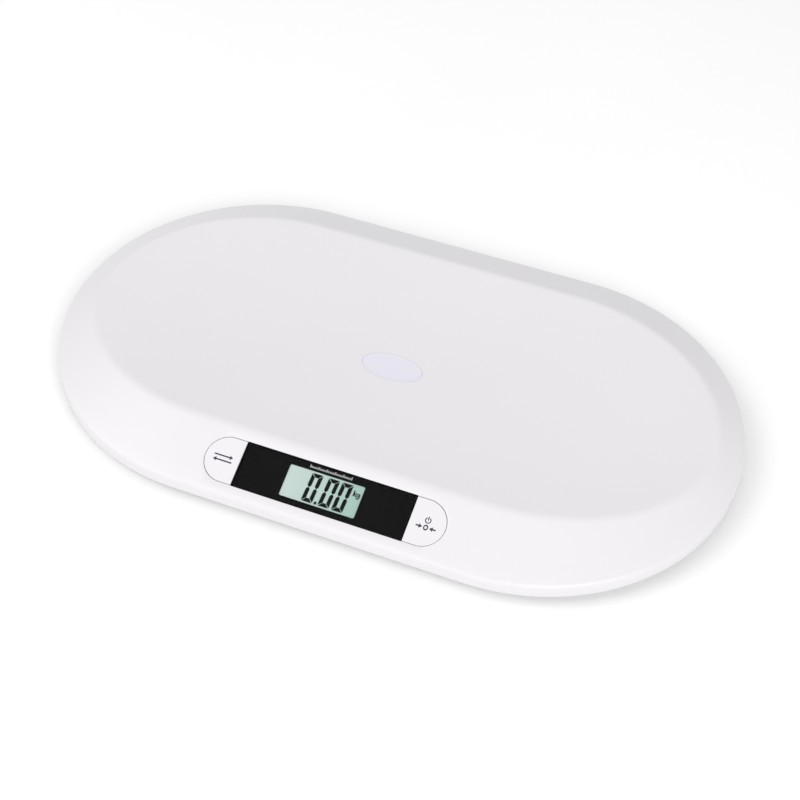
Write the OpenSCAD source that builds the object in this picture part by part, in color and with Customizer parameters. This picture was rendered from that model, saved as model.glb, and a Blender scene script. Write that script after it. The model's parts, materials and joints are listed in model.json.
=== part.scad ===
// Low oval animal weighing scale: a two-part plastic case on four load-cell
// feet, with a sloping display panel and two flush keys in its front bevel.
// Millimetres, +Z up, display side towards -Y, origin on the floor under the
// centre of the case.

/* [Case] */
// Length of the case along X
body_length = 550; // [500:1:600]
// Width of the case along Y
body_width = 310; // [290:1:340]
// Length of each rounded end, from the straight sides to the tip
end_length = 160; // [155:1:170]
// Height of the upright skirt
skirt_height = 12; // [10:0.5:14]
// Rise of the platform above the skirt
platform_rise = 18.5; // [17:0.5:21]
// Depth of the platform's shallow trough along its centreline
platform_dish = 7.5; // [4:0.5:8]
// Wall thickness of the cover and of the base
wall = 2.5; // [2:0.1:3]

/* [Platform] */
// Width of the sloping bevel on the display side
front_bevel = 50; // [48:1:52]
// Width of the sloping bevel on the far side
back_bevel = 37; // [35:1:42]
// Width of the sloping bevel at each end
end_bevel = 21.5; // [20:0.5:28]
// Length of the rounded end of the platform edge
platform_end_length = 141; // [132:1:145]

/* [Display panel] */
// Length of the black display window
window_length = 134; // [130:1:140]
// Height of the display window, measured up the slope
window_height = 35.8; // [34:0.2:37]
// Distance up the slope from the skirt edge to the panel's centre
panel_up = 26.4; // [26:0.1:27]
// Distance of the panel's centre from the middle of the case along X
panel_x = -2; // [-3:0.5:3]
// Straight part of each key before its round end
key_straight = 10; // [8:0.5:12]
// Gap round each key
key_gap = 0.45; // [0.35:0.05:0.6]
// Travel of each key, along the panel's normal
key_travel = 0.4; // [0.3:0.05:0.5]
// Visible length of the liquid crystal display
lcd_length = 59.2; // [57:0.2:61]
// Visible height of the liquid crystal display
lcd_height = 24.8; // [23:0.2:25]

/* [Feet] */
// Clear height under the case
foot_drop = 9; // [8:0.5:12]
// Distance of each foot from the centre along X
foot_x = 180; // [170:1:185]
// Distance of each foot from the centre along Y
foot_y = 85; // [78:1:88]
// Radius of the rubber foot pad
pad_r = 15; // [13:0.5:16]
// Side of the square load cell plate
cell_side = 34; // [32:1:36]

/* [Battery bay] */
// Battery radius
battery_r = 5.25; // [5.1:0.05:5.25]
// Battery length with its nub
battery_length = 44.5; // [44:0.1:44.5]
// Distance of the bay's centre behind the middle of the case
bay_y = 38; // [34:1:42]

/* [Hidden] */
$fn = 48;
eps = 0.01;

CORNERS = ["front_left", "front_right", "back_right", "back_left"];
CORNER_SIGNS = [[-1, -1], [1, -1], [1, 1], [-1, 1]];
BATTERY_COUNT = 3;

// Heights of the case
ridge_z = foot_drop + skirt_height;
platform_z = ridge_z + platform_rise;
floor_z = foot_drop + wall;

// Platform edge
platform_half_length = body_length / 2 - end_bevel;
platform_half_width = (body_width - front_bevel - back_bevel) / 2;
platform_y = (front_bevel - back_bevel) / 2;

// Case outline and bevel profile, as shares of the way from skirt edge to
// platform edge
END_STEPS = 30;
ridge_round = 0.04;
edge_round = 0.09;
ridge_drop = 1.6;
inner_edge_inset = 1.5;
rim_gap = 0.5;
rim_thickness = 2;
rim_height = 5.5;

// Stiffening ribs
rib = 1.8;
cover_rib_z = 26;
cross_rib_sink = 0.6;
long_rib_sink = 1.3;
boss_sink = 1.7;
cover_ribs_x = [-180, -120, -60, 0, 60, 120, 180];
cover_ribs_y = [-75, -35, 35, 75];
base_rib_height = 4;
base_ribs_x = [-130, -60, 60, 130];
base_ribs_y = [-50, -10];

// Cover screws
cover_screw_points = [[-230, 0], [230, 0], [-105, -95], [105, -95], [-105, 95], [105, 95]];
boss_r = 4;
boss_z = 14;
screw_r = 1.45;
screw_hole_r = 1.7;
screw_head_r = 2.8;
counterbore_z = 11.8;

// Display panel, in its own frame on the bevel: X along the case, Y up the
// slope, Z out of the bevel
bevel_angle = atan2(platform_rise, front_bevel);
panel_y = panel_up * cos(bevel_angle) - body_width / 2;
panel_z = ridge_z + panel_up * sin(bevel_angle);
key_r = window_height / 2;
key_turn_x = window_length / 2 + key_straight;
lens_thickness = 1.6;
mask_thickness = 0.2;
pocket_depth = lens_thickness + mask_thickness;
pocket_gap = 0.2;
backing_depth = 4;
backing_margin = 3;
key_flange = 1.2;
key_flange_top = 4.15;
key_flange_bottom = 5.2;
key_wall = 1.4;
key_x = 80.5;

// Display stack behind the mask
lcd_x = -1.2;
lcd_y = -0.4;
glass_size = [lcd_length + 4, lcd_height + 4];
glass_top = 2;
glass_bottom = 4.6;
holder_wall = 2.6;
holder_top = 4.3;
board_top = 9.3;
board_thickness = 1.2;
board_bottom = board_top + board_thickness;
board_half_length = 88;
board_low = -18.6;
board_high = 17;
board_screw_points = [[-50, -11], [-50, 11], [50, -11], [50, 11]];

// Push switches
switch_side = 6;
switch_top = 5.9;
plunger_r = 1.7;
plunger_length = 1.7;
running_gap = 0.05;

// Feet and load cells
cap_r = 18;
cap_rim_z = 1.8;
pad_height = 3;
cap_top_z = 8;
foot_neck_r = 7;
foot_hole_r = 7.5;
cell_z = 17;
cell_thickness = 2;
clamp_thickness = 3;
clamp_side = cell_side + 2;
clamp_window = 26;
clamp_screw_y = 22;
clamp_post_r = 4.5;

// Battery bay and door
battery_pitch = 2 * battery_r + 0.7;
bay_length = 54;
bay_width = BATTERY_COUNT * battery_pitch + 1.4;
battery_z = floor_z + 0.2 + battery_r;
bay_roof_z = battery_z + battery_r + 0.5;
bay_wall = 5.6;
bay_outer = [bay_length + 2 * bay_wall, bay_width + 2 * bay_wall];
door_gap = 0.4;
door_thickness = 2;
door_half = [31, 21];
hinge_r = door_thickness / 2;
hinge_x = -door_half[0] + hinge_r;
hinge_z = foot_drop + hinge_r;
hinge_pin_r = 0.9;
hinge_pin_length = 2;
contact_x = bay_length / 2 - 0.6;
spring_wire_r = 0.35;
spring_turns = 3;
label_size = [60, 34];
label_x = -100;

// Leads: routes from each cell or the bay to the back of the board
lead_r = 1;
lead_end_y = -119.4;
lead_end_z = under_board_z(lead_end_y - lead_r) - 0.05;
route_front = [
    [170.5, -85, 19.1], [170, -85, 22.5], [165, -85, 24.4], [157, -85, 23], [145, -84, 19],
    [115, -82, 18.5], [88, -94, 18.5], [68, -112, 18], [64, -117.7, 18.8], [64, lead_end_y, lead_end_z]
];
route_back = [
    [170.5, 85, 19.1], [170, 85, 22.5], [165, 84, 24.4], [157, 81, 23], [146, 72, 19],
    [120, 30, 18.5], [90, -40, 18.5], [60, -95, 18], [40, -114, 17.5],
    [38, -117.7, 18.8], [38, lead_end_y, lead_end_z]
];
route_battery = [
    [8, 13.8, 18], [8, 8, 18], [6, -20, 18.5], [4, -70, 18.5], [4, -106, 17.5],
    [4, -117.7, 18.8], [4, lead_end_y, lead_end_z]
];

function mix(a, b, t) = a + (b - a) * t;

// Height of the back of the board at y
function under_board_z(y) =
    panel_z - board_bottom / cos(bevel_angle) + (y - panel_y) * tan(bevel_angle);

function bend(a, b, c, t) = mix(mix(a, b, t), mix(b, c, t), t);

// Closed outline with straight sides and elliptical ends, counter-clockwise
function outline(half_length, half_width, end, centre_y) = [
    for (side = [1, -1])
        for (i = [0 : END_STEPS])
            let (a = -90 + 180 * i / END_STEPS)
                [side * (half_length - end + end * cos(a)), centre_y + side * half_width * sin(a)]
];

// How far the shallow trough lowers the surface at y, on a ring whose half
// width is half_width; share is 0 at the skirt edge and 1 on the platform
function trough(y, centre_y, half_width, share) =
    platform_dish * min(share, 1) * (1 - pow((y - centre_y) / half_width, 2));

// Outer ring of the cover at a share of the way up the bevel
function bevel_ring(share, z) =
    let (
        half_width = mix(body_width / 2, platform_half_width, share),
        centre_y = mix(0, platform_y, share),
        plan = outline(
            mix(body_length / 2, platform_half_length, share),
            half_width,
            mix(end_length, platform_end_length, share),
            centre_y
        ),
        trough_width = max(half_width, platform_half_width)
    )
        [for (p = plan) [p[0], p[1], z - trough(p[1], centre_y, trough_width, share)]];

// Plain ring of the case at a distance inside the skirt
function skirt_ring(inset, z) = [
    for (p = outline(body_length / 2 - inset, body_width / 2 - inset, end_length - inset, 0))
        [p[0], p[1], z]
];

// Inside ring under the platform edge
function inner_platform_ring() = [
    for (p = outline(
        platform_half_length - inner_edge_inset,
        platform_half_width - inner_edge_inset,
        platform_end_length - inner_edge_inset,
        platform_y
    ))
        [p[0], p[1], inner_z(p[1])]
];

// Underside of the platform at y
function inner_z(y) = platform_z - wall - trough(y, platform_y, platform_half_width, 1);

function bevel_z(share) = mix(ridge_z, platform_z, share);

// Closed solid through a list of rings, the first and last being capped with
// strips that run straight across from end to end
module ring_solid(rings) {
    n = 2 * (END_STEPS + 1);
    last = len(rings) - 1;
    walls = [
        for (r = [0 : last - 1])
            for (i = [0 : n - 1])
                let (j = (i + 1) % n, a = r * n, b = (r + 1) * n)
                    each [[a + i, a + j, b + j], [a + i, b + j, b + i]]
    ];
    first_cap = [
        for (i = [0 : END_STEPS - 1])
            each [[i, n - 2 - i, i + 1], [i, n - 1 - i, n - 2 - i]]
    ];
    last_cap = [
        for (i = [0 : END_STEPS - 1])
            let (a = last * n)
                each [[a + i, a + i + 1, a + n - 2 - i], [a + i, a + n - 2 - i, a + n - 1 - i]]
    ];
    points = [for (r = rings) each r];
    faces = concat(walls, first_cap, last_cap);
    polyhedron(points, [for (f = faces) [f[2], f[1], f[0]]]);
}

// Whole cover from the underside of the platform, out to the skirt's bottom
// edge and back over the bevel to the top of the platform
module cover_shell() {
    ridge_points = [for (t = [0, 0.5, 1])
        bend([0, ridge_z - ridge_drop], [0, ridge_z], [ridge_round, bevel_z(ridge_round)], t)];
    edge_points = [for (t = [0 : 0.25 : 1])
        bend(
            [1 - edge_round, bevel_z(1 - edge_round)],
            [1, platform_z],
            [1 + edge_round, platform_z],
            t
        )];
    ring_solid(concat(
        [inner_platform_ring(), skirt_ring(wall, ridge_z - ridge_drop), skirt_ring(wall, foot_drop)],
        [skirt_ring(0, foot_drop)],
        [for (p = concat(ridge_points, edge_points)) bevel_ring(p[0], p[1])]
    ));
}

module on_panel() {
    translate([panel_x, panel_y, panel_z]) rotate([bevel_angle, 0, 0]) children();
}

// Slab in the panel's frame between two depths below the bevel
module panel_slab(deep, shallow) {
    translate([0, 0, -deep]) linear_extrude(deep - shallow) children();
}

// Right-hand key's outline, straight towards the window, grown by a margin
module key_outline(grow) {
    translate([window_length / 2 - grow, -key_r - grow])
        square([key_straight + grow, 2 * (key_r + grow)]);
    translate([key_turn_x, 0]) circle(key_r + grow, $fn = 96);
}

// Half of the panel on the side of a key: 1 is right, -1 is left
module key_side(side) {
    mirror([side < 0 ? 1 : 0, 0, 0]) children();
}

module key_window(side) {
    key_side(side) difference() {
        key_outline(0);
        translate([0, -window_height]) square([window_length / 2, 2 * window_height]);
    }
}

module lcd_rectangle(size) {
    translate([lcd_x, lcd_y]) square(size, center = true);
}

module panel_cutouts() {
    above = 5;
    panel_slab(pocket_depth, -above)
        square([window_length + 2 * pocket_gap, window_height + 2 * pocket_gap], center = true);
    for (side = [1, -1])
        panel_slab(backing_depth + above, -above) key_window(side);
    panel_slab(backing_depth + above, 0) lcd_rectangle(glass_size + [1.6, 1.6]);
}

module panel_backing() {
    size = [2 * (key_turn_x + key_r + backing_margin), window_height + 2 * backing_margin];
    panel_slab(backing_depth, 1) square(size, center = true);
    for (p = board_screw_points)
        translate([p[0], p[1], -board_top]) cylinder(r = 3, h = board_top - 2.4);
}

module cover_ribs() {
    for (x = cover_ribs_x) {
        reach = abs(x) > 150 ? 78 : 96;
        foot = [for (side = [-1, 1]) [platform_y + side * reach, cover_rib_z]];
        top = [
            for (step = [8 : -1 : -8])
                let (y = platform_y + reach * step / 8)
                    [y, inner_z(y) + cross_rib_sink]
        ];
        translate([x - rib / 2, 0, 0]) rotate([90, 0, 90]) linear_extrude(rib)
            polygon(concat(foot, top));
    }
    for (y = cover_ribs_y) {
        reach = abs(y) > 50 ? 195 : 228;
        translate([-reach, y - rib / 2, cover_rib_z])
            cube([2 * reach, rib, inner_z(y) + long_rib_sink - cover_rib_z]);
    }
}

// Round screw boss hanging from a square root on the underside of the platform
module cover_boss(top) {
    root = 2 * boss_r + 2;
    root_depth = 3;
    translate([-root / 2, -root / 2, top - root_depth]) cube([root, root, root_depth + boss_sink]);
    translate([0, 0, boss_z]) cylinder(r = boss_r, h = top - root_depth / 2 - boss_z);
}

// The one large moulding: platform, bevel, skirt, ribs and screw bosses
module top_cover() {
    color("whitesmoke") difference() {
        union() {
            cover_shell();
            on_panel() panel_backing();
            cover_ribs();
            for (p = cover_screw_points) translate([p[0], p[1], 0]) cover_boss(inner_z(p[1]));
        }
        on_panel() panel_cutouts();
        for (p = board_screw_points)
            on_panel() translate([p[0], p[1], -board_top - eps]) cylinder(r = 1, h = 5);
        for (p = cover_screw_points)
            translate([p[0], p[1], boss_z - eps]) cylinder(r = screw_r + running_gap, h = 10);
    }
}

// Thin blank oval badge lying in the trough of the platform
module platform_badge() {
    badge_length = 50.5;
    badge_width = 27;
    badge_y = -2.5;
    top_z = platform_z - trough(badge_y, platform_y, platform_half_width, 1) + 0.25;
    slope = atan(2 * platform_dish * (badge_y - platform_y) / pow(platform_half_width, 2));
    outline_steps = 48;
    color("lavender") translate([0, badge_y, top_z]) rotate([slope, 0, 0])
        linear_extrude(0.2) polygon([
            for (i = [0 : outline_steps - 1])
                let (a = 360 * i / outline_steps)
                    [badge_length / 2 * cos(a), badge_width / 2 * sin(a)]
        ]);
}

// Clear front plate of the display
module display_lens() {
    color("dimgray", 0.35) on_panel() panel_slab(lens_thickness, 0)
        square([window_length, window_height], center = true);
}

// Black printed sheet behind the lens, open over the display
module display_mask() {
    color("black") on_panel() panel_slab(pocket_depth, lens_thickness) difference() {
        square([window_length, window_height], center = true);
        lcd_rectangle([lcd_length, lcd_height]);
    }
}

// Key with a round outer end, a hollow back and a retaining flange
module panel_key(side) {
    on_panel() key_side(side) {
        difference() {
            union() {
                panel_slab(key_flange_bottom, 0) key_body_outline(-key_gap);
                panel_slab(key_flange_bottom, key_flange_top) key_body_outline(key_flange);
            }
            panel_slab(key_flange_bottom + 1, key_wall) key_body_outline(-key_gap - key_wall);
        }
        translate([key_x, 0, -key_flange_bottom])
            cylinder(r = 3, h = key_flange_bottom - key_wall + 0.2);
    }
}

module key_body_outline(grow) {
    difference() {
        key_outline(grow);
        translate([0, -window_height]) square([window_length / 2 - grow, 2 * window_height]);
    }
}

module unit_key() {
    color("snow") panel_key(-1);
}

module tare_key() {
    color("snow") panel_key(1);
}

// Body of a push switch, bored for its plunger
module push_switch(side) {
    color("dimgray") on_panel() translate([side * key_x, 0, -board_top]) difference() {
        translate([-switch_side / 2, -switch_side / 2, 0])
            cube([switch_side, switch_side, board_top - switch_top]);
        translate([0, 0, board_top - key_flange_bottom - plunger_length - key_travel - 0.3])
            cylinder(r = plunger_r + running_gap, h = 5);
    }
}

module switch_plunger(side) {
    color("black") on_panel()
        translate([side * key_x, 0, -key_flange_bottom - plunger_length])
            cylinder(r = plunger_r, h = plunger_length);
}

module unit_switch() {
    push_switch(-1);
}

module tare_switch() {
    push_switch(1);
}

module unit_switch_plunger() {
    switch_plunger(-1);
}

module tare_switch_plunger() {
    switch_plunger(1);
}

module lcd_glass() {
    color("honeydew") on_panel() panel_slab(glass_bottom, glass_top) lcd_rectangle(glass_size);
}

module lcd_backlight() {
    color("white") on_panel() panel_slab(board_top, glass_bottom)
        translate([0, -1.5]) lcd_rectangle([56, 21]);
}

// Plastic frame that locates the display glass over the board
module lcd_holder() {
    inner = glass_size + [0.6, 0.6];
    color("gainsboro") on_panel() panel_slab(board_top, holder_top) difference() {
        lcd_rectangle(inner + 2 * [holder_wall, holder_wall]);
        lcd_rectangle(inner);
    }
}

module zebra_strip() {
    color("slategray") on_panel() panel_slab(board_top, glass_bottom)
        translate([0, glass_size[1] / 2 - 1.8]) lcd_rectangle([57, 2]);
}

module main_board() {
    color("seagreen") on_panel() panel_slab(board_bottom, board_top) difference() {
        translate([-board_half_length, board_low])
            square([2 * board_half_length, board_high - board_low]);
        for (p = board_screw_points) translate(p) circle(1.3);
    }
}

// Parts soldered to the back of the board
module board_components() {
    color("black") on_panel() translate([0, 0, -board_bottom]) {
        translate([22, -2, 0]) rotate([180, 0, 0]) cylinder(r1 = 6, r2 = 4, h = 1.5);
        for (x = [-24, -12]) translate([x, -5, -1.6]) cube([6, 5, 1.6]);
        translate([-70, 2, -2.4]) cube([9, 4, 2.4]);
        translate([66, -8, -3]) cylinder(r = 2.5, h = 3);
    }
}

// Pan-head screw standing on its head, the shank pointing up
module screw(head_r, head_h, shank_r, shank_h) {
    difference() {
        cylinder(r = head_r, h = head_h);
        for (a = [0, 90])
            rotate([0, 0, a]) translate([-head_r * 0.6, -0.3, -eps]) cube([head_r * 1.2, 0.6, 0.8]);
    }
    translate([0, 0, head_h - eps]) cylinder(r = shank_r, h = shank_h + eps);
}

module board_screws() {
    color("silver") for (p = board_screw_points)
        on_panel() translate([p[0], p[1], -board_bottom - 1.6]) screw(2.2, 1.6, 0.95, 5);
}

module cover_screws() {
    color("silver") for (p = cover_screw_points)
        translate([p[0], p[1], foot_drop + 0.8])
            screw(screw_head_r, counterbore_z - foot_drop - 0.8, screw_r, 10);
}

module clamp_screws() {
    color("silver") for (i = [0 : 3]) at_corner(i)
        for (side = [1, -1])
            translate([0, side * clamp_screw_y, cell_z + cell_thickness + clamp_thickness + 1.8])
                rotate([180, 0, 0]) screw(2.4, 1.8, 1.15, 8);
}

module at_corner(i) {
    translate([CORNER_SIGNS[i][0] * foot_x, CORNER_SIGNS[i][1] * foot_y, 0]) children();
}

module base_floor() {
    linear_extrude(wall)
        polygon(outline(
            body_length / 2 - wall - rim_gap,
            body_width / 2 - wall - rim_gap,
            end_length - wall - rim_gap,
            0
        ));
}

module base_rim() {
    outer = wall + rim_gap;
    inner = outer + rim_thickness;
    linear_extrude(rim_height + eps) difference() {
        polygon(outline(body_length / 2 - outer, body_width / 2 - outer, end_length - outer, 0));
        polygon(outline(body_length / 2 - inner, body_width / 2 - inner, end_length - inner, 0));
    }
}

module base_ribs() {
    for (x = base_ribs_x) {
        translate([x - rib / 2, -100, floor_z - eps]) cube([rib, 200, base_rib_height + eps]);
    }
    for (y = base_ribs_y) {
        translate([-215, y - rib / 2, floor_z - eps]) cube([430, rib, base_rib_height + eps]);
    }
}

// Two rails and two screw posts that carry one load cell
module cell_seat() {
    rail = 5;
    for (side = [1, -1]) {
        translate([side * (cell_side - rail) / 2 - rail / 2, -cell_side / 2, floor_z - eps])
            cube([rail, cell_side, cell_z - floor_z + eps]);
        translate([0, side * clamp_screw_y, floor_z - eps])
            cylinder(r = clamp_post_r, h = cell_z + cell_thickness - floor_z + eps);
    }
}

module bay_block() {
    roof = 2;
    translate([-bay_outer[0] / 2, bay_y - bay_outer[1] / 2, foot_drop])
        cube([bay_outer[0], bay_outer[1], bay_roof_z + roof - foot_drop]);
}

module bay_cavity() {
    latch_notch = [6, 13, 6];
    translate([-bay_length / 2, bay_y - bay_width / 2, foot_drop - 1])
        cube([bay_length, bay_width, bay_roof_z - foot_drop + 1]);
    translate([-door_half[0] - door_gap, bay_y - door_half[1] - door_gap, foot_drop - 1])
        cube([
            2 * (door_half[0] + door_gap),
            2 * (door_half[1] + door_gap),
            door_thickness + 1.2
        ]);
    translate([bay_length / 2 - 1, bay_y - latch_notch[1] / 2, foot_drop])
        cube([latch_notch[0], latch_notch[1], door_thickness + latch_notch[2]]);
}

module hinge_bores() {
    depth = hinge_pin_length + 0.3 - door_gap;
    for (side = [1, -1])
        translate([hinge_x, bay_y + side * (door_half[1] + door_gap), hinge_z])
            rotate([-90 * side, 0, 0]) translate([0, 0, -0.1])
                cylinder(r = hinge_pin_r + running_gap, h = depth + 0.1);
}

// Lower case half with its rim, cell seats, screw posts and battery bay
module base_plate() {
    color("whitesmoke") difference() {
        union() {
            translate([0, 0, foot_drop]) base_floor();
            translate([0, 0, floor_z - eps]) base_rim();
            base_ribs();
            for (i = [0 : 3]) at_corner(i) cell_seat();
            bay_block();
            for (p = cover_screw_points)
                translate([p[0], p[1], floor_z - eps]) cylinder(r = boss_r, h = boss_z - floor_z + eps);
        }
        bay_cavity();
        hinge_bores();
        for (i = [0 : 3]) at_corner(i) {
            translate([0, 0, foot_drop - 1]) cylinder(r = foot_hole_r, h = 10);
            for (side = [1, -1])
                translate([0, side * clamp_screw_y, floor_z]) cylinder(r = 1.2, h = 10);
        }
        for (p = cover_screw_points) {
            translate([p[0], p[1], foot_drop - 1]) cylinder(r = screw_hole_r, h = 10);
            translate([p[0], p[1], foot_drop - 1])
                cylinder(r = screw_head_r + 0.4, h = counterbore_z - foot_drop + 1);
        }
    }
}

module rating_label() {
    color("silver") translate([label_x, -label_size[1] / 2, foot_drop - 0.15])
        cube([label_size[0], label_size[1], 0.15]);
}

// Lift-up door, hinged on two pins, with a spring tongue at its free edge
module battery_door() {
    tongue = [1.2, 10, 4.5];
    color("whitesmoke") translate([0, bay_y, 0]) {
        difference() {
            translate([hinge_x, -door_half[1], foot_drop])
                cube([door_half[0] - hinge_x, 2 * door_half[1], door_thickness]);
            translate([door_half[0] - 8, 0, foot_drop - 8.8]) rotate([90, 0, 0])
                translate([0, 0, -7]) cylinder(r = 10, h = 14);
        }
        translate([hinge_x, 0, hinge_z]) rotate([90, 0, 0]) {
            translate([0, 0, -door_half[1]]) cylinder(r = hinge_r, h = 2 * door_half[1]);
            translate([0, 0, -door_half[1] - hinge_pin_length])
                cylinder(r = hinge_pin_r, h = 2 * (door_half[1] + hinge_pin_length));
        }
        translate([door_half[0] - 3, -tongue[1] / 2, foot_drop + door_thickness - eps])
            cube(tongue);
    }
}

// Side that battery i's nub faces
function nub_side(i) = i % 2 == 0 ? 1 : -1;

function battery_row_y(i) = bay_y + (i - (BATTERY_COUNT - 1) / 2) * battery_pitch;

// Battery cell lying along X, its nub against the flat contact
module battery(i) {
    nub = 1.2;
    color("steelblue") translate([0, battery_row_y(i), battery_z]) rotate([0, nub_side(i) * 90, 0]) {
        translate([0, 0, contact_x - battery_length])
            cylinder(r = battery_r, h = battery_length - nub);
        translate([0, 0, contact_x - nub - eps]) cylinder(r = 1.9, h = nub + eps);
    }
}

module contact_sheet(side, i) {
    translate([side * (contact_x + 0.25), battery_row_y(i), battery_z]) cube([0.5, 9, 9], center = true);
}

module battery_plates() {
    color("silver") for (i = [0 : BATTERY_COUNT - 1]) contact_sheet(nub_side(i), i);
}

// Coil spring and its sheet behind each battery's flat end
module battery_springs() {
    steps = 12;
    span = 2 * contact_x - battery_length - 2 * spring_wire_r - 0.1;
    coil = [
        for (k = [0 : steps * spring_turns])
            let (t = k / (steps * spring_turns), a = 360 * k / steps, r = mix(4, 2.6, t))
                [contact_x - spring_wire_r - t * span, r * cos(a), r * sin(a)]
    ];
    color("silver") for (i = [0 : BATTERY_COUNT - 1]) {
        side = -nub_side(i);
        contact_sheet(side, i);
        translate([0, battery_row_y(i), battery_z]) key_side(side) swept_tube(coil, spring_wire_r, 6);
    }
}

// E-shaped steel plate: its middle tongue bends when the foot presses it
module load_cell(i) {
    slot = 2.4;
    tongue = 12;
    reach = 22;
    color("darkgray") at_corner(i) translate([0, 0, cell_z])
        linear_extrude(cell_thickness) difference() {
            square(cell_side, center = true);
            for (side = [1, -1])
                translate([side * (tongue + slot) / 2 - slot / 2, -reach / 2]) square([slot, reach]);
            translate([-tongue / 2 - slot, -reach / 2]) square([tongue + 2 * slot, slot]);
        }
}

// Plastic frame that holds the plate's rim down on its seat
module cell_clamp(i) {
    color("dimgray") at_corner(i) translate([0, 0, cell_z + cell_thickness])
        linear_extrude(clamp_thickness) difference() {
            union() {
                square(clamp_side, center = true);
                for (side = [1, -1]) translate([0, side * clamp_screw_y]) circle(clamp_post_r);
            }
            square(clamp_window, center = true);
            for (side = [1, -1]) translate([0, side * clamp_screw_y]) circle(1.4);
        }
}

// Foot body: a disc with a recess for the pad, a neck through the base and a
// button that touches the load cell
module foot_cap(i) {
    button_r = 3;
    bead_z = 12.2;
    color("gainsboro") at_corner(i) rotate_extrude($fn = 72) polygon([
        [0, pad_height],
        [pad_r + 0.3, pad_height],
        [pad_r + 0.3, cap_rim_z],
        [cap_r - 0.6, cap_rim_z],
        [cap_r, cap_rim_z + 0.6],
        [cap_r, cap_top_z - 1.5],
        [cap_r - 1.5, cap_top_z],
        [foot_neck_r, cap_top_z],
        [foot_neck_r, bead_z],
        [foot_neck_r + 0.9, bead_z],
        [foot_neck_r, bead_z + 1.6],
        [foot_neck_r - 1, cell_z - 1.5],
        [button_r, cell_z - 1.5],
        [button_r, cell_z],
        [0, cell_z]
    ]);
}

module foot_pad(i) {
    color("dimgray") at_corner(i) rotate_extrude($fn = 72) polygon([
        [0, 0],
        [pad_r - 0.6, 0],
        [pad_r, 0.6],
        [pad_r, pad_height],
        [0, pad_height]
    ]);
}

function unit(v) = v / norm(v);

// Smooth curve through hand-placed points
function spline_point(a, b, c, d, t) =
    0.5 * (2 * b + (c - a) * t + (2 * a - 5 * b + 4 * c - d) * t * t
        + (3 * b - a - 3 * c + d) * t * t * t);

function smooth_route(points, steps) = let (last = len(points) - 1) concat(
    [for (i = [0 : last - 1])
        for (k = [0 : steps - 1])
            spline_point(
                points[max(i - 1, 0)],
                points[i],
                points[i + 1],
                points[min(i + 2, last)],
                k / steps
            )],
    [points[last]]
);

// Round tube swept along a route
module swept_tube(route, r, sides = 8) {
    last = len(route) - 1;
    reference = unit([0.9, 0.3, 0.31]);
    rings = [
        for (i = [0 : last])
            let (
                along = unit(route[min(i + 1, last)] - route[max(i - 1, 0)]),
                across = unit(cross(along, reference)),
                up = cross(along, across)
            )
                for (k = [0 : sides - 1])
                    route[i] + r * (across * cos(360 * k / sides) + up * sin(360 * k / sides))
    ];
    walls = [
        for (i = [0 : last - 1])
            for (k = [0 : sides - 1])
                let (a = i * sides, b = a + sides, m = (k + 1) % sides)
                    each [[a + k, b + m, a + m], [a + k, b + k, b + m]]
    ];
    first = [for (k = [0 : sides - 1]) k];
    end = [for (k = [sides - 1 : -1 : 0]) last * sides + k];
    polyhedron(rings, concat(walls, [first, end]));
}

// Three-core lead from a load cell to the board
module sensor_lead(i) {
    route = CORNER_SIGNS[i][1] < 0 ? route_front : route_back;
    color("firebrick") key_side(CORNER_SIGNS[i][0]) swept_tube(smooth_route(route, 4), lead_r);
}

module battery_lead() {
    color("firebrick") swept_tube(smooth_route(route_battery, 5), lead_r);
}

top_cover();
platform_badge();
display_lens();
display_mask();
unit_key();
tare_key();
unit_switch_plunger();
tare_switch_plunger();
unit_switch();
tare_switch();
lcd_glass();
lcd_backlight();
lcd_holder();
zebra_strip();
main_board();
board_components();
board_screws();
base_plate();
cover_screws();
rating_label();
battery_door();
battery_springs();
battery_plates();
battery_lead();
clamp_screws();
for (i = [0 : BATTERY_COUNT - 1])
    battery(i);
for (i = [0 : 3]) {
    load_cell(i);
    cell_clamp(i);
    foot_cap(i);
    foot_pad(i);
    sensor_lead(i);
}
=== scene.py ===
"""Low oval weighing scale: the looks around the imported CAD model.

Everything is in metres, in the CAD frame: +X along the case, the display
towards -Y, the floor at Z = 0. Sizes with no unit in their name are metres.
"""
import bmesh
import bpy
import json
import math
from mathutils import Matrix, Vector


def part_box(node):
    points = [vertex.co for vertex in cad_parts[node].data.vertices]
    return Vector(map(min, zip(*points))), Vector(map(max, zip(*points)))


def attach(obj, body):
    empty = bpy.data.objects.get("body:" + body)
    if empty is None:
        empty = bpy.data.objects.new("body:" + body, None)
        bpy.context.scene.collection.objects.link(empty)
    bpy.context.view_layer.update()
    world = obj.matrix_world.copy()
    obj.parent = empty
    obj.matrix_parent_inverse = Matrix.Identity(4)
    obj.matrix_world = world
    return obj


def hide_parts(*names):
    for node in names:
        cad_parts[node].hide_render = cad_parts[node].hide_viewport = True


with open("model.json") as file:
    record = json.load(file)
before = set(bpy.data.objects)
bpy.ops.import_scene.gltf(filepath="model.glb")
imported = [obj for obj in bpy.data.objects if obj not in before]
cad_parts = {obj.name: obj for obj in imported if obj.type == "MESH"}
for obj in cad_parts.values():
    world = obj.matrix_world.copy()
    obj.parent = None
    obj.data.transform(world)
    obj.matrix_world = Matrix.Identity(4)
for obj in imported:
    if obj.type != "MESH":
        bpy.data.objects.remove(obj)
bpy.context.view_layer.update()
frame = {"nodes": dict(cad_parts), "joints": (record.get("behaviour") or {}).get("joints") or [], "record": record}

MM = 0.001
UP = Vector((0, 0, 1))

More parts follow.
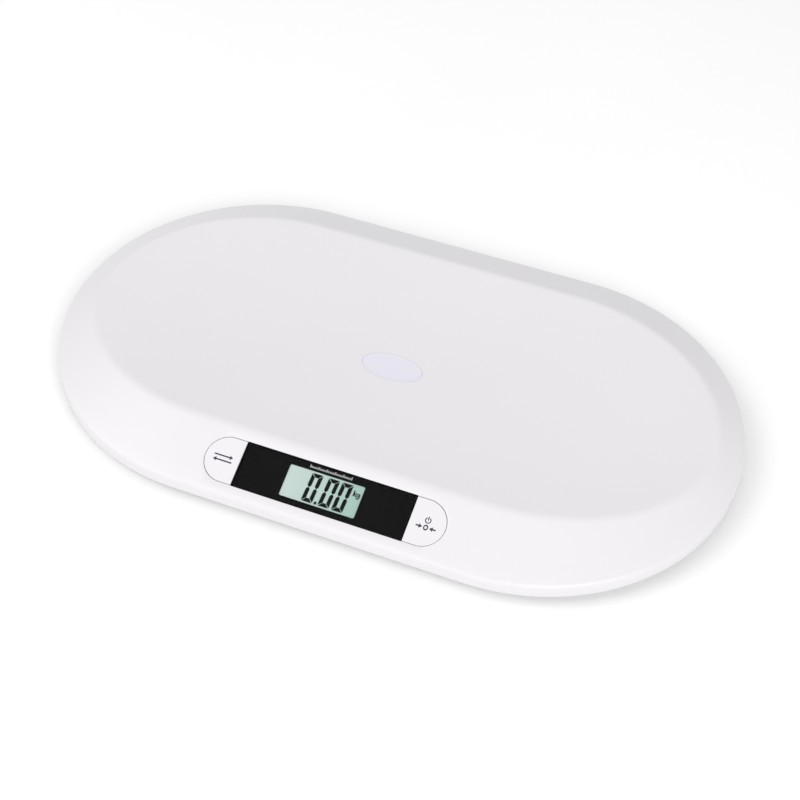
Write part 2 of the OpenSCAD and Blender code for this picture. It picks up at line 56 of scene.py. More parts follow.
# ---------------------------------------------------------------- case sizes
# Driving dimensions as in part.scad; the rest is worked out or read from the frame.
CASE_LOW, CASE_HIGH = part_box("top_cover")
HALF_LENGTH = CASE_HIGH.x
HALF_WIDTH = CASE_HIGH.y
SKIRT_LOW = CASE_LOW.z
END_LENGTH = 160 * MM
SKIRT = 12 * MM
RISE = 18.5 * MM
DISH = 7.5 * MM
WALL = 2.5 * MM
FRONT_BEVEL = 50 * MM
BACK_BEVEL = 37 * MM
END_BEVEL = 21.5 * MM
PLATFORM_END = 141 * MM
RIDGE_Z = SKIRT_LOW + SKIRT
PLATFORM_Z = RIDGE_Z + RISE
PLATFORM_HALF_LENGTH = HALF_LENGTH - END_BEVEL
PLATFORM_HALF_WIDTH = HALF_WIDTH - (FRONT_BEVEL + BACK_BEVEL) / 2
PLATFORM_Y = (FRONT_BEVEL - BACK_BEVEL) / 2
RIDGE_ROUND = 2.2 * MM
EDGE_ROUND = 3.6 * MM
FOOT_ROUND = 0.8 * MM  # lower edge of the skirt
RIDGE_DROP = 1.6 * MM  # inner wall's ridge under the outer one
PLATFORM_INSET = 1.5 * MM
END_STEPS = 64
SIDE_STEPS = 40
CORNER_STEPS = 5
BAND_STEPS = 28

# --------------------------------------------------------------- panel frame
PRESS = next(j for j in frame["joints"] if j["name"] == "unit_key_press")
BEVEL_ANGLE = math.atan2(PRESS["axis"][1], -PRESS["axis"][2])
NORMAL = -Vector(PRESS["axis"]).normalized()
LENS = 1.6 * MM
MASK = 0.2 * MM
LENS_LOW, LENS_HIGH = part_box("display_lens")
WINDOW_LENGTH = LENS_HIGH.x - LENS_LOW.x
WINDOW_HEIGHT = 35.8 * MM
PANEL = (
    Matrix.Translation((LENS_LOW + LENS_HIGH) / 2 + NORMAL * LENS / 2)
    @ Matrix.Rotation(BEVEL_ANGLE, 4, "X")
)
KEY_RADIUS = WINDOW_HEIGHT / 2
KEY_STRAIGHT = 10 * MM
KEY_TURN = WINDOW_LENGTH / 2 + KEY_STRAIGHT
KEY_GAP = 0.45 * MM
KEY_CORNER = 0.35 * MM
KEY_FLANGE = 1.2 * MM
KEY_DEPTH = 5.2 * MM
FLANGE_TOP = 4.15 * MM
BACKING = 4 * MM
BACKING_MARGIN = 3 * MM
WINDOW_GAP = 0.2 * MM
WELL_MARGIN = 2.8 * MM
THROUGH = 9 * MM
CUT_EDGE = 0.18 * MM
KEY_MARK_X = 80.5 * MM
LCD_LENGTH = 59.2 * MM
LCD_HEIGHT = 24.8 * MM
LCD_FACE = 2 * MM
LCD_BACK = -4.6 * MM
SHADOW_CAST = 0.3 * MM
LCD_CENTRE = PANEL.inverted() @ (sum(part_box("lcd_glass"), Vector()) / 2)
PRINT = 0.04 * MM
RIM = 0.15 * MM


# ----------------------------------------------------------------- materials
class Nodes:
    """Small helper that adds nodes to one material and links them."""

    def __init__(self, name):
        self.material = bpy.data.materials.new(name)
        self.material.use_nodes = True
        self.tree = self.material.node_tree
        self.shader = self.tree.nodes["Principled BSDF"]

    def add(self, kind, **inputs):
        """Adds a node and fills its sockets; an underscore stands for a space."""
        node = self.tree.nodes.new(kind)
        for key, value in inputs.items():
            self.feed(node, key.replace("_", " "), value)
        return node

    def feed(self, node, socket, value):
        """Links another socket into a node's socket, or sets it to a plain value."""
        if isinstance(value, bpy.types.NodeSocket):
            self.tree.links.new(value, node.inputs[socket])
        else:
            node.inputs[socket].default_value = value

    def set(self, **inputs):
        """Fills sockets of the surface shader."""
        for key, value in inputs.items():
            self.feed(self.shader, key.replace("_", " "), value)

    def place(self):
        """Object coordinates."""
        return self.add("ShaderNodeTexCoord").outputs["Object"]

    def noise(self, scale, detail=2.0, roughness=0.5, vector=None):
        """Noise value over the object coordinates or another vector."""
        node = self.add("ShaderNodeTexNoise", Scale=scale, Detail=detail, Roughness=roughness)
        self.feed(node, "Vector", vector or self.place())
        return node.outputs["Fac"]

    def spread(self, value, low, high, from_low=0.3, from_high=0.7):
        """Maps a noise value to a range."""
        node = self.add("ShaderNodeMapRange")
        self.feed(node, "Value", value)
        for socket, number in zip(
            ("From Min", "From Max", "To Min", "To Max"), (from_low, from_high, low, high)
        ):
            self.feed(node, socket, number)
        return node.outputs["Result"]

    def ramp(self, value, *stops):
        """Colour ramp through (position, colour) stops."""
        node = self.add("ShaderNodeValToRGB")
        elements = node.color_ramp.elements
        while len(elements) < len(stops):
            elements.new(0.5)
        for element, (position, colour) in zip(elements, stops):
            element.position = position
            element.color = (*colour, 1)
        self.feed(node, "Fac", value)
        return node.outputs["Color"]

    def bump(self, height, distance, strength=1.0, under=None):
        """Bumped normal, on top of the normal under it."""
        node = self.add("ShaderNodeBump", Strength=strength, Distance=distance, Height=height)
        if under:
            self.feed(node, "Normal", under)
        return node.outputs["Normal"]


def shade(colour, factor):
    """Colour made darker or lighter by a factor."""
    return tuple(c * factor for c in colour)


def moulded_plastic(name, colour, roughness, grain=0.45 * MM, depth=0.006 * MM):
    """Injection-moulded plastic with a fine spark-eroded grain and a slow drift in tone."""
    n = Nodes(name)
    drift = n.noise(9.0, 3.0)
    fine = n.noise(1 / grain, 3.0, 0.6)
    tone = n.ramp(drift, (0.3, shade(colour, 0.985)), (0.7, colour))
    ripple = n.bump(n.noise(35.0, 1.0), 0.02 * MM, 0.35)
    n.set(
        Base_Color=tone,
        Roughness=n.spread(fine, roughness - 0.05, roughness + 0.06),
        Normal=n.bump(fine, depth, 1.0, ripple),
        Specular_IOR_Level=0.45,
    )
    return n.material


def plated_steel(name, colour=(0.6, 0.6, 0.61), roughness=0.32):
    """Zinc or nickel plated steel with faint drawn lines and dull patches."""
    n = Nodes(name)
    stretch = n.add("ShaderNodeMapping")
    n.feed(stretch, "Vector", n.place())
    n.feed(stretch, "Scale", (60.0, 2200.0, 900.0))
    lines = n.noise(1.0, 2.0, 0.5, stretch.outputs["Vector"])
    patches = n.noise(180.0, 3.0)
    n.set(
        Base_Color=n.ramp(patches, (0.3, shade(colour, 0.82)), (0.7, colour)),
        Metallic=1.0,
        Roughness=n.spread(lines, roughness - 0.08, roughness + 0.1),
        Normal=n.bump(lines, 0.004 * MM),
    )
    return n.material


def soft_rubber(name, colour, roughness=0.75):
    """Matt rubber with a fine pebbled skin and pale bloom."""
    n = Nodes(name)
    pebble = n.noise(2600.0, 4.0, 0.65)
    bloom = n.noise(120.0, 4.0)
    n.set(
        Base_Color=n.ramp(bloom, (0.35, colour), (0.75, shade(colour, 1.5))),
        Roughness=n.spread(pebble, roughness - 0.1, roughness + 0.1),
        Normal=n.bump(pebble, 0.02 * MM),
        Specular_IOR_Level=0.3,
    )
    return n.material


def printed_ink(name, colour, roughness, gloss=0.3):
    """Thin screen-printed ink with slight unevenness at its edges."""
    n = Nodes(name)
    speck = n.noise(3000.0, 2.0)
    n.set(
        Base_Color=n.ramp(speck, (0.3, colour), (0.75, shade(colour, 1.25))),
        Roughness=n.spread(speck, roughness - 0.06, roughness + 0.06),
        Specular_IOR_Level=gloss,
    )
    return n.material


def clear_lens(name):
    """Clear plate: what is behind shows straight through, under a faint uneven gloss."""
    n = Nodes(name)
    n.set(
        Base_Color=n.ramp(
            n.noise(25.0, 3.0), (0.3, (0.01, 0.01, 0.011)), (0.7, (0.02, 0.02, 0.022))
        ),
        Roughness=n.spread(n.noise(60.0, 3.0), 0.06, 0.14),
        Specular_IOR_Level=0.5,
        Alpha=0.05,
    )
    return n.material


def liquid_crystal(name):
    """Grey-green cell with a faint reflector grain, made paler towards its left edge by painted light."""
    n = Nodes(name)
    split = n.add("ShaderNodeSeparateXYZ")
    n.feed(split, "Vector", n.place())
    # Painted light: a ramp across the cell that makes it paler towards its left edge; the reflector grain is mixed
    # into it below.
    across = n.spread(
        split.outputs["X"], 0.0, 1.0, LCD_CENTRE.x - LCD_LENGTH / 2, LCD_CENTRE.x + LCD_LENGTH / 2
    )
    grain_and_painted_light = n.add("ShaderNodeMath")
    grain_and_painted_light.operation = "MULTIPLY_ADD"
    n.feed(grain_and_painted_light, 0, n.noise(700.0, 2.0))
    n.feed(grain_and_painted_light, 1, 0.12)
    n.feed(grain_and_painted_light, 2, across)
    tint = n.ramp(
        grain_and_painted_light.outputs["Value"],
        (0.0, (0.58, 0.70, 0.655)),
        (0.45, (0.51, 0.655, 0.60)),
        (1.0, (0.38, 0.56, 0.49)),
    )
    n.set(Base_Color=tint, Roughness=0.35, Specular_IOR_Level=0.25)
    return n.material


def circuit_board(name):
    """Green solder mask over copper tracks that show as slightly paler runs."""
    n = Nodes(name)
    cells = n.add("ShaderNodeTexVoronoi", Scale=380.0)
    cells.distance = "MANHATTAN"
    n.feed(cells, "Vector", n.place())
    tracks = n.spread(cells.outputs["Distance"], 0.0, 1.0, 0.18, 0.24)
    n.set(
        Base_Color=n.ramp(tracks, (0.2, (0.045, 0.27, 0.11)), (0.8, (0.02, 0.17, 0.07))),
        Roughness=n.spread(n.noise(900.0), 0.28, 0.4),
        Normal=n.bump(tracks, 0.02 * MM, 0.6),
    )
    return n.material


def banded_jacket(name):
    """Printed battery jacket: a blue body with a silver band at the nub end."""
    n = Nodes(name)
    grain = n.noise(1400.0, 2.0)
    split = n.add("ShaderNodeSeparateXYZ")
    n.feed(split, "Vector", n.place())
    band = n.spread(split.outputs["X"], 0.0, 1.0, -8 * MM, -7.4 * MM)
    n.set(
        Base_Color=n.ramp(band, (0.4, (0.5, 0.5, 0.52)), (0.6, (0.05, 0.12, 0.3))),
        Roughness=n.spread(grain, 0.25, 0.36),
        Metallic=0.6,
        Normal=n.bump(grain, 0.004 * MM),
    )
    return n.material


def blank_label(name):
    """Silver-grey film label with a fine brushed grain and no print."""
    n = Nodes(name)
    grain = n.noise(2000.0, 3.0)
    n.set(
        Base_Color=n.ramp(grain, (0.3, (0.55, 0.55, 0.57)), (0.7, (0.64, 0.64, 0.66))),
        Roughness=n.spread(grain, 0.4, 0.52),
        Normal=n.bump(grain, 0.003 * MM),
    )
    return n.material


def studio_floor(name):
    """Pale matt floor with a barely visible drift in tone."""
    n = Nodes(name)
    n.set(
        Base_Color=n.ramp(n.noise(3.0, 2.0), (0.3, (0.93, 0.93, 0.93)), (0.7, (0.95, 0.95, 0.95))),
        Roughness=0.9,
        Specular_IOR_Level=0.1,
    )
    return n.material


WHITE = (0.735, 0.72, 0.742)
MATERIALS = {
    "case_plastic": moulded_plastic("case_white", WHITE, 0.33),
    "badge_film": moulded_plastic("badge_lavender", (0.725, 0.71, 0.79), 0.38, 0.8 * MM),
    "clear_lens": clear_lens("lens_clear"),
    "black_print": printed_ink("mask_black", (0.003, 0.003, 0.0032), 0.6, 0.06),
    "key_plastic": moulded_plastic("key_white", WHITE, 0.36, 0.35 * MM, 0.004 * MM),
    "switch_black": moulded_plastic("switch_black", (0.02, 0.02, 0.022), 0.5),
    "display_glass": liquid_crystal("lcd_cell"),
    "diffuser": moulded_plastic("light_guide", (0.78, 0.8, 0.76), 0.3),
    "holder_plastic": moulded_plastic("holder_natural", (0.6, 0.6, 0.58), 0.5),
    "zebra_rubber": soft_rubber("zebra_rubber", (0.1, 0.1, 0.13)),
    "board_laminate": circuit_board("board_green"),
    "component_black": moulded_plastic("component_black", (0.015, 0.015, 0.016), 0.45),
    "screw_steel": plated_steel("screw_zinc"),
    "label_film": blank_label("label_blank"),
    "spring_steel": plated_steel("contact_nickel", (0.68, 0.67, 0.64), 0.25),
    "battery_jacket": banded_jacket("battery_blue"),
    "cell_steel": plated_steel("cell_steel", (0.5, 0.51, 0.52), 0.38),
    "clamp_plastic": moulded_plastic("clamp_dark", (0.05, 0.05, 0.055), 0.5),
    "foot_plastic": moulded_plastic("foot_grey", (0.6, 0.6, 0.61), 0.5),
    "foot_rubber": soft_rubber("foot_rubber", (0.02, 0.02, 0.021)),
    "lead_jacket": soft_rubber("lead_red", (0.35, 0.03, 0.03), 0.5),
}


# ------------------------------------------------------------- mesh building
def finish_mesh(name, mesh, material, sharp_angle=35.0):
    """Object from a bmesh, smooth except across sharp edges."""
    bmesh.ops.recalc_face_normals(mesh, faces=mesh.faces)
    data = bpy.data.meshes.new(name)
    mesh.to_mesh(data)
    mesh.free()
    data.shade_smooth()
    data.set_sharp_from_angle(angle=math.radians(sharp_angle))
    data.materials.append(material)
    piece = bpy.data.objects.new(name, data)
    bpy.context.scene.collection.objects.link(piece)
    return piece


def apply_modifiers(piece):
    """Bakes a piece's modifiers into its mesh."""
    graph = bpy.context.evaluated_depsgraph_get()
    data = bpy.data.meshes.new_from_object(piece.evaluated_get(graph))
    piece.modifiers.clear()
    piece.data = data


def bridge(mesh, rings):
    """Joins consecutive closed rings of vertices with quads."""
    for a, b in zip(rings, rings[1:]):
        count = len(a)
        for i in range(count):
            j = (i + 1) % count
            mesh.faces.new((a[i], a[j], b[j], b[i]))


def ring_of(mesh, points):
    """Unjoined vertices at the points."""
    return [mesh.verts.new(p) for p in points]


def panel_ring(mesh, outline, height):
    """Vertices of an outline drawn on the panel, at a height over the bevel."""
    return ring_of(mesh, [PANEL @ Vector((x, y, height)) for x, y in outline])


def cap_ends(mesh, rings):
    """Closes the first and the last ring with a face each."""
    mesh.faces.new(rings[0])
    mesh.faces.new(rings[-1])


def stack(name, layers, material):
    """Closed solid on the panel through (outline, height) layers, capped at both ends."""
    mesh = bmesh.new()
    rings = [panel_ring(mesh, outline, height) for outline, height in layers]
    bridge(mesh, rings)
    cap_ends(mesh, rings)
    return finish_mesh(name, mesh, material)


def curve(a, b, c, t):
    """Point on the quadratic curve from a to c with corner b."""
    return a.lerp(b, t).lerp(b.lerp(c, t), t)


def steps(count):
    """Even shares from 0 to 1."""
    return [i / count for i in range(count + 1)]


def arc(start, end, count):
    """Angles in radians from start to end degrees."""
    return [math.radians(start + (end - start) * t) for t in steps(count)]


def rounded_top(outline_at, low, high, radius, count):
    """Layers of a solid whose top edge is rounded; outline_at(inset) gives its outline."""
    layers = [(outline_at(0.0), low), (outline_at(0.0), (low + high - radius) / 2)]
    for t in steps(count):
        angle = t * math.pi / 2
        inset = radius * (1 - math.cos(angle))
        layers.append((outline_at(inset), high - radius + radius * math.sin(angle)))
    layers.append((outline_at(radius * 1.6), high))
    return layers


def ride_as(piece, body, slot, *replaced):
    """Attaches a piece to the body it moves with and hides the CAD nodes it stands for; slot is not used."""
    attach(piece, body)
    if replaced:
        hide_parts(*replaced)


# ---------------------------------------------------------------- case shell
def case_outline(half_length, half_width, end, centre_y):
    """Closed outline: right end front to back, back side, left end, front side."""
    turn = half_length - end
    right = []
    for t in steps(END_STEPS):
        angle = math.pi * (t - 0.5)
        right.append((turn + end * math.cos(angle), centre_y + half_width * math.sin(angle)))
    left = [(-x, y) for x, y in reversed(right)]
    inner = steps(SIDE_STEPS)[1:-1]
    back = [(turn - 2 * turn * t, centre_y + half_width) for t in inner]
    front = [(-turn + 2 * turn * t, centre_y - half_width) for t in inner]
    return right + back + left + front


def skirt_outline(inset):
    """Outline of the skirt, moved inwards."""
    return case_outline(HALF_LENGTH - inset, HALF_WIDTH - inset, END_LENGTH - inset, 0.0)


def platform_outline(inset):
    """Outline of the platform's edge, moved inwards."""
    return case_outline(
        PLATFORM_HALF_LENGTH - inset,
        PLATFORM_HALF_WIDTH - inset,
        PLATFORM_END - inset,
        PLATFORM_Y,
    )


def platform_height(y):
    """Height of the shallow trough at y."""
    share = min(abs(y - PLATFORM_Y) / PLATFORM_HALF_WIDTH, 1.0)
    return PLATFORM_Z - DISH * (1 - share * share)


def platform_point(x, y, lift=0.0):
    """Point on the trough's surface, or lifted over it."""
    return Vector((x, y, platform_height(y) + lift))


def outer_profiles():
    """One line of points for each place along the outline, from platform to skirt foot."""
    lines = []
    for plan, edge_plan in zip(skirt_outline(0.0), platform_outline(0.0)):
        ridge = Vector((*plan, RIDGE_Z))
        edge = platform_point(*edge_plan)
        slope = (ridge - edge).normalized()
        flat = Vector((slope.x, slope.y, 0)).normalized()
        inner = edge - flat * EDGE_ROUND
        inner.z = platform_height(inner.y)
        bevel_top = edge + slope * EDGE_ROUND
        bevel_foot = ridge - slope * RIDGE_ROUND
        foot = Vector((*plan, SKIRT_LOW))
        lines.append(
            [curve(inner, edge, bevel_top, t) for t in steps(8)]
            + [bevel_top.lerp(bevel_foot, t) for t in steps(6)[1:-1]]
            + [curve(bevel_foot, ridge, ridge - UP * RIDGE_ROUND, t) for t in steps(6)]
            + [curve(foot + UP * FOOT_ROUND, foot, foot - flat * FOOT_ROUND, t) for t in steps(4)]
        )
    return lines


def inner_rings():
    """Inside of the wall, from the skirt foot up to the underside of the platform."""
    low = [(x, y, SKIRT_LOW) for x, y in skirt_outline(WALL)]
    high = [(x, y, RIDGE_Z - RIDGE_DROP) for x, y in skirt_outline(WALL)]
    top = [(x, y, platform_height(y) - WALL) for x, y in platform_outline(PLATFORM_INSET)]
    return [low, high, top]


def fill_platform(mesh, ring, drop):
    """Grid of quads across a closed ring laid out as case_outline is."""
    right = ring[: END_STEPS + 1]
    back = ring[END_STEPS + 1 : END_STEPS + SIDE_STEPS]
    left = ring[END_STEPS + SIDE_STEPS : 2 * END_STEPS + SIDE_STEPS + 1]
    front = ring[2 * END_STEPS + SIDE_STEPS + 1 :]
    rows = []
    for row in range(END_STEPS + 1):
        a, b = left[END_STEPS - row], right[row]
        if row == 0:
            inside = list(front)
        elif row == END_STEPS:
            inside = list(reversed(back))
        else:
            inside = []
            for t in steps(SIDE_STEPS)[1:-1]:
                x, y, _ = a.co.lerp(b.co, t)
                inside.append(mesh.verts.new((x, y, platform_height(y) - drop)))
        rows.append([a, *inside, b])
    for low, high in zip(rows, rows[1:]):
        for i in range(SIDE_STEPS):
            mesh.faces.new((low[i], low[i + 1], high[i + 1], high[i]))


def shell_mesh():
    """Closed wall of the case: outer rings, inner rings and the platform's two faces."""
    mesh = bmesh.new()
    profiles = outer_profiles()
    rings = [ring_of(mesh, [line[i] for line in profiles]) for i in range(len(profiles[0]))]
    rings += [ring_of(mesh, points) for points in inner_rings()]
    bridge(mesh, rings)
    fill_platform(mesh, rings[0], 0.0)
    fill_platform(mesh, rings[-1], WALL)
    return mesh


# ------------------------------------------------------------- panel outlines
def rectangle(half_length, half_height, corner, centre=(0.0, 0.0)):
    """Rectangle with rounded corners, counter-clockwise."""
    points = []
    for turn, (sx, sy) in enumerate(((1, 1), (-1, 1), (-1, -1), (1, -1))):
        for t in steps(CORNER_STEPS):
            angle = math.pi / 2 * (turn + t)
            points.append(
                (
                    centre[0] + sx * (half_length - corner) + corner * math.cos(angle),
                    centre[1] + sy * (half_height - corner) + corner * math.sin(angle),
                )
            )
    return points


def key_outline(grow, side):
    """D-shaped outline of a key, its straight edge towards the window; side is 1 or -1."""
    start = WINDOW_LENGTH / 2 - grow
    radius = KEY_RADIUS + grow
    corner = KEY_CORNER
    points = [(KEY_TURN + radius * math.cos(a), radius * math.sin(a)) for a in arc(-90, 90, 40)]
    for sign, sweep in ((1, arc(90, 180, 4)), (-1, arc(180, 270, 4))):
        x, y = start + corner, sign * (radius - corner)
        points += [(x + corner * math.cos(a), y + corner * math.sin(a)) for a in sweep]
    return points if side > 0 else [(-x, y) for x, y in reversed(points)]


# ---------------------------------------------------------------- top cover
def cutter(name, outline, depth, above=4 * MM):
    """Prism in the panel's frame that a boolean takes away or adds."""
    return stack(name, [(outline, -depth), (outline, above)], MATERIALS["case_plastic"])


def combine(piece, tool, operation):
    """Adds the tool to the piece, or cuts it away, and deletes the tool."""
    modifier = piece.modifiers.new(tool.name, "BOOLEAN")
    modifier.object = tool
    modifier.operation = operation
    modifier.solver = "EXACT"
    apply_modifiers(piece)
    bpy.data.objects.remove(tool)


def open_panel(cover):
    """Thickens the bevel behind the panel, then cuts the window, the key holes and the well."""
    backing = rectangle(
        KEY_TURN + KEY_RADIUS + BACKING_MARGIN, KEY_RADIUS + BACKING_MARGIN, 1 * MM
    )
    combine(cover, cutter("backing", backing, BACKING, -1 * MM), "UNION")
    pocket = rectangle(WINDOW_LENGTH / 2 + WINDOW_GAP, KEY_RADIUS + WINDOW_GAP, 0.3 * MM)
    combine(cover, cutter("window_pocket", pocket, LENS + MASK), "DIFFERENCE")
    for side in (1, -1):
        combine(cover, cutter("key_hole", key_outline(0.0, side), THROUGH), "DIFFERENCE")
    well = rectangle(
        LCD_LENGTH / 2 + WELL_MARGIN, LCD_HEIGHT / 2 + WELL_MARGIN, 0.5 * MM, LCD_CENTRE.xy
    )
    combine(cover, cutter("display_well", well, THROUGH, -1 * MM), "DIFFERENCE")


def soften_edges(piece):
    """Breaks the sharp edges that the cuts leave."""
    soften = piece.modifiers.new("soften", "BEVEL")
    soften.width = CUT_EDGE
    soften.segments = 2
    soften.limit_method = "ANGLE"
    soften.angle_limit = math.radians(60)
    apply_modifiers(piece)


def make_cover():
    """Top cover: platform, bevel and skirt in one moulding."""
    cover = finish_mesh("case_cover", shell_mesh(), MATERIALS["case_plastic"])
    open_panel(cover)
    soften_edges(cover)
    cover.data.shade_smooth()
    cover.data.set_sharp_from_angle(angle=math.radians(40))
    ride_as(cover, "case", "case_plastic", "top_cover")


# Badge layers: (share of its size, lift over the platform in millimetres)
BADGE_SIDE = [(1.0, -0.05), (1.0, 0.14)]
BADGE_BORDER = [(0.985, 0.2), (0.955, 0.2)]
BADGE_FIELD = [(share, 0.15) for share in (0.94, 0.8, 0.6, 0.4, 0.2)]
BADGE_LINE = [(0.985, 0.2), (0.985, 0.24), (0.955, 0.24), (0.955, 0.2)]


def badge_rings(mesh, layers):
    """Bridged ovals on the platform, one for each badge layer."""
    low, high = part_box("platform_badge")
    centre, half = (low + high) / 2, (high - low) / 2
    turn = [(math.cos(a), math.sin(a)) for a in arc(0, 360, 96)[:-1]]
    rings = []
    for share, lift in layers:
        oval = [(centre.x + half.x * share * x, centre.y + half.y * share * y) for x, y in turn]
        rings.append(ring_of(mesh, [platform_point(x, y, lift * MM) for x, y in oval]))
    bridge(mesh, rings)
    return rings


def make_badge():
    """Oval film that follows the trough, with a fine raised border."""
    mesh = bmesh.new()
    cap_ends(mesh, badge_rings(mesh, BADGE_SIDE + BADGE_BORDER + BADGE_FIELD))
    badge = finish_mesh("oval_badge", mesh, MATERIALS["badge_film"])
    ride_as(badge, "case", "badge_film", "platform_badge")


def make_badge_line():
    """Darker grey line along the badge's raised border."""
    mesh = bmesh.new()
    rings = badge_rings(mesh, BADGE_LINE)
    bridge(mesh, [rings[-1], rings[0]])
    ink = printed_ink("badge_line", (0.56, 0.55, 0.59), 0.45)
    ride_as(finish_mesh("badge_outline", mesh, ink), "case", "badge_film")


# ------------------------------------------------------------- display window
def lens_outline(inset):
    """Outline of the lens inside the mask's rim, moved inwards."""
    gap = 1.2 * RIM + inset
    return rectangle(WINDOW_LENGTH / 2 - gap, WINDOW_HEIGHT / 2 - gap, 0.4 * MM)


def make_lens():
    """Clear plate, flush with the bevel inside the mask's rim."""
    layers = rounded_top(lens_outline, -LENS + 0.1 * MM, 0.0, 0.15 * MM, 3)
    lens = stack("window_lens", layers, MATERIALS["clear_lens"])
    ride_as(lens, "case", "clear_lens", "display_lens")


def make_mask():
    """Black sheet with a rounded opening, turned up as a thin rim round the lens."""
    mesh = bmesh.new()
    outer = rectangle(WINDOW_LENGTH / 2, WINDOW_HEIGHT / 2, 0.4 * MM)
    rim = rectangle(WINDOW_LENGTH / 2 - RIM, WINDOW_HEIGHT / 2 - RIM, 0.3 * MM)
    opening = rectangle(LCD_LENGTH / 2, LCD_HEIGHT / 2, 1.3 * MM, LCD_CENTRE.xy)
    bottom = -LENS - MASK
    levels = [(outer, bottom), (outer, -RIM), (rim, -RIM), (rim, -LENS)]
    levels += [(opening, -LENS), (opening, bottom)]
    rings = [panel_ring(mesh, loop, height) for loop, height in levels]
    bridge(mesh, rings + [rings[0]])
    mask = finish_mesh("window_print", mesh, MATERIALS["black_print"], 30)
    ride_as(mask, "case", "black_print", "display_mask")


def flat_print(name, shapes, material, height, place):
    """Thin printed shapes on the panel, each a closed outline moved to its place."""
    mesh = bmesh.new()
    for shape in shapes:
        outline = [(x + place[0], y + place[1]) for x, y in shape]
        rings = [panel_ring(mesh, outline, height), panel_ring(mesh, outline, height + PRINT)]
        bridge(mesh, rings)
        cap_ends(mesh, rings)
    return finish_mesh(name, mesh, material, 30)


def bar(x0, y0, x1, y1):
    """Upright rectangle between two corners, in millimetres."""
    return [(x0 * MM, y0 * MM), (x1 * MM, y0 * MM), (x1 * MM, y1 * MM), (x0 * MM, y1 * MM)]


def band(radius, width, start, end, centre, stretch=1.0):
    """Part of a ring, in millimetres and degrees; stretch scales it along Y."""
    sweep = arc(start, end, BAND_STEPS)
    outer = [(radius + width / 2, a) for a in sweep]
    inner = [(radius - width / 2, a) for a in reversed(sweep)]
    return [
        ((centre[0] + r * math.cos(a)) * MM, (centre[1] + stretch * r * math.sin(a)) * MM)
        for r, a in outer + inner
    ]


def stroke(x0, y0, x1, y1, width):
    """Straight stroke between two points, in millimetres."""
    along = Vector((x1 - x0, y1 - y0)).normalized() * width / 2
    side = Vector((-along.y, along.x))
    ends = (Vector((x0, y0)), Vector((x1, y1)))
    corners = (ends[0] - side, ends[1] - side, ends[1] + side, ends[0] + side)
    return [(p.x * MM, p.y * MM) for p in corners]


# Seven-segment digits, in millimetres
DIGIT_WIDTH = 8.7
DIGIT_HEIGHT = 22.2
SEGMENT = 2.95
SEGMENT_GAP = 0.16
SEGMENT_CUT = 0.45
DIGIT_LEAN = 0.045
DIGIT_STARTS = (-12.6, 0.5, 11.2)
DIGIT_BASE = -11.1
POINT_X = -2.5


def zero_segments(start):
    """The six lit segments of a nought whose lower left corner is at start."""
    w, h, s, g, cut = DIGIT_WIDTH, DIGIT_HEIGHT, SEGMENT, SEGMENT_GAP, SEGMENT_CUT
    middle = h / 2
    top = [(cut + g, h), (w - cut - g, h), (w - cut, h - 0.15), (w - s - g, h - s), (s + g, h - s)]
    top.append((cut, h - 0.15))
    left = [(0, h - cut - g), (0, middle + s / 2)]
    left += [(s / 2 - 0.4, middle + g), (s / 2 + 0.4, middle + g)]
    left += [(s, middle + s / 2), (s, h - s - g), (0.25, h - cut - g)]
    halves = [top, left, [(w - x, y) for x, y in reversed(left)]]
    shapes = halves + [[(x, h - y) for x, y in reversed(shape)] for shape in halves]
    return [[lean(start + x, y) for x, y in shape] for shape in shapes]


def lean(x, y):
    """Slants a display point and puts it in metres."""
    return ((x + y * DIGIT_LEAN) * MM, (DIGIT_BASE + y) * MM)


def display_shapes():
    """Reading of nought point nought nought, with its unit mark."""
    shapes = [shape for start in DIGIT_STARTS for shape in zero_segments(start)]
    point = bar(POINT_X, DIGIT_BASE, POINT_X + 1.9, DIGIT_BASE + 2.2)
    unit = [
        stroke(23.0, 3.4, 23.0, 8.0, 0.9),
        stroke(23.2, 4.9, 24.9, 6.4, 0.8),
        stroke(23.7, 5.3, 25.1, 3.4, 0.8),
        band(0.95, 0.8, 0, 360, (26.5, 5.0)),
        stroke(27.5, 6.2, 27.5, 3.3, 0.8),
        band(1.0, 0.8, 190, 360, (26.5, 3.3)),
    ]
    return shapes + [point] + unit


def make_cell():
    """Liquid crystal cell behind the window."""
    outline = rectangle(LCD_LENGTH / 2 + 2 * MM, LCD_HEIGHT / 2 + 2 * MM, 0.3 * MM, LCD_CENTRE.xy)
    layers = [(outline, LCD_BACK), (outline, -LCD_FACE)]
    cell = stack("display_cell", layers, MATERIALS["display_glass"])
    ride_as(cell, "case", "display_glass", "lcd_glass")


def make_reading():
    """Lit segments, over the faint shadow they cast on the reflector."""
    ink = printed_ink("segment_black", (0.004, 0.005, 0.005), 0.5, 0.08)
    ghost = printed_ink("segment_shadow", (0.40, 0.53, 0.47), 0.4)
    shapes = display_shapes()
    cast = (LCD_CENTRE.x + SHADOW_CAST, LCD_CENTRE.y - SHADOW_CAST)
    shadow = flat_print("segment_shadows", shapes, ghost, -LCD_FACE, cast)
    ride_as(shadow, "case", "display_glass")
    lit = flat_print("segments", shapes, ink, -LCD_FACE + 1.2 * PRINT, LCD_CENTRE.xy)
    ride_as(lit, "case", "black_print")


def make_tick_row():
    """Fine graduation marks above the display, every fifth one taller."""
    count, pitch, half_width = 26, 1.3, 0.27
    shapes = []
    for i in range(count):
        x = (i - (count - 1) / 2) * pitch
        height = 2.3 if i % 5 == 0 else 1.4
        shapes.append(bar(x - half_width, 0.0, x + half_width, height))
    ink = printed_ink("tick_white", (0.7, 0.7, 0.71), 0.5)
    place = (LCD_CENTRE.x + 1.4 * MM, LCD_CENTRE.y + LCD_HEIGHT / 2 + 1.9 * MM)
    ticks = flat_print("graduation_ticks", shapes, ink, -LENS, place)
    ride_as(ticks, "case", "black_print")


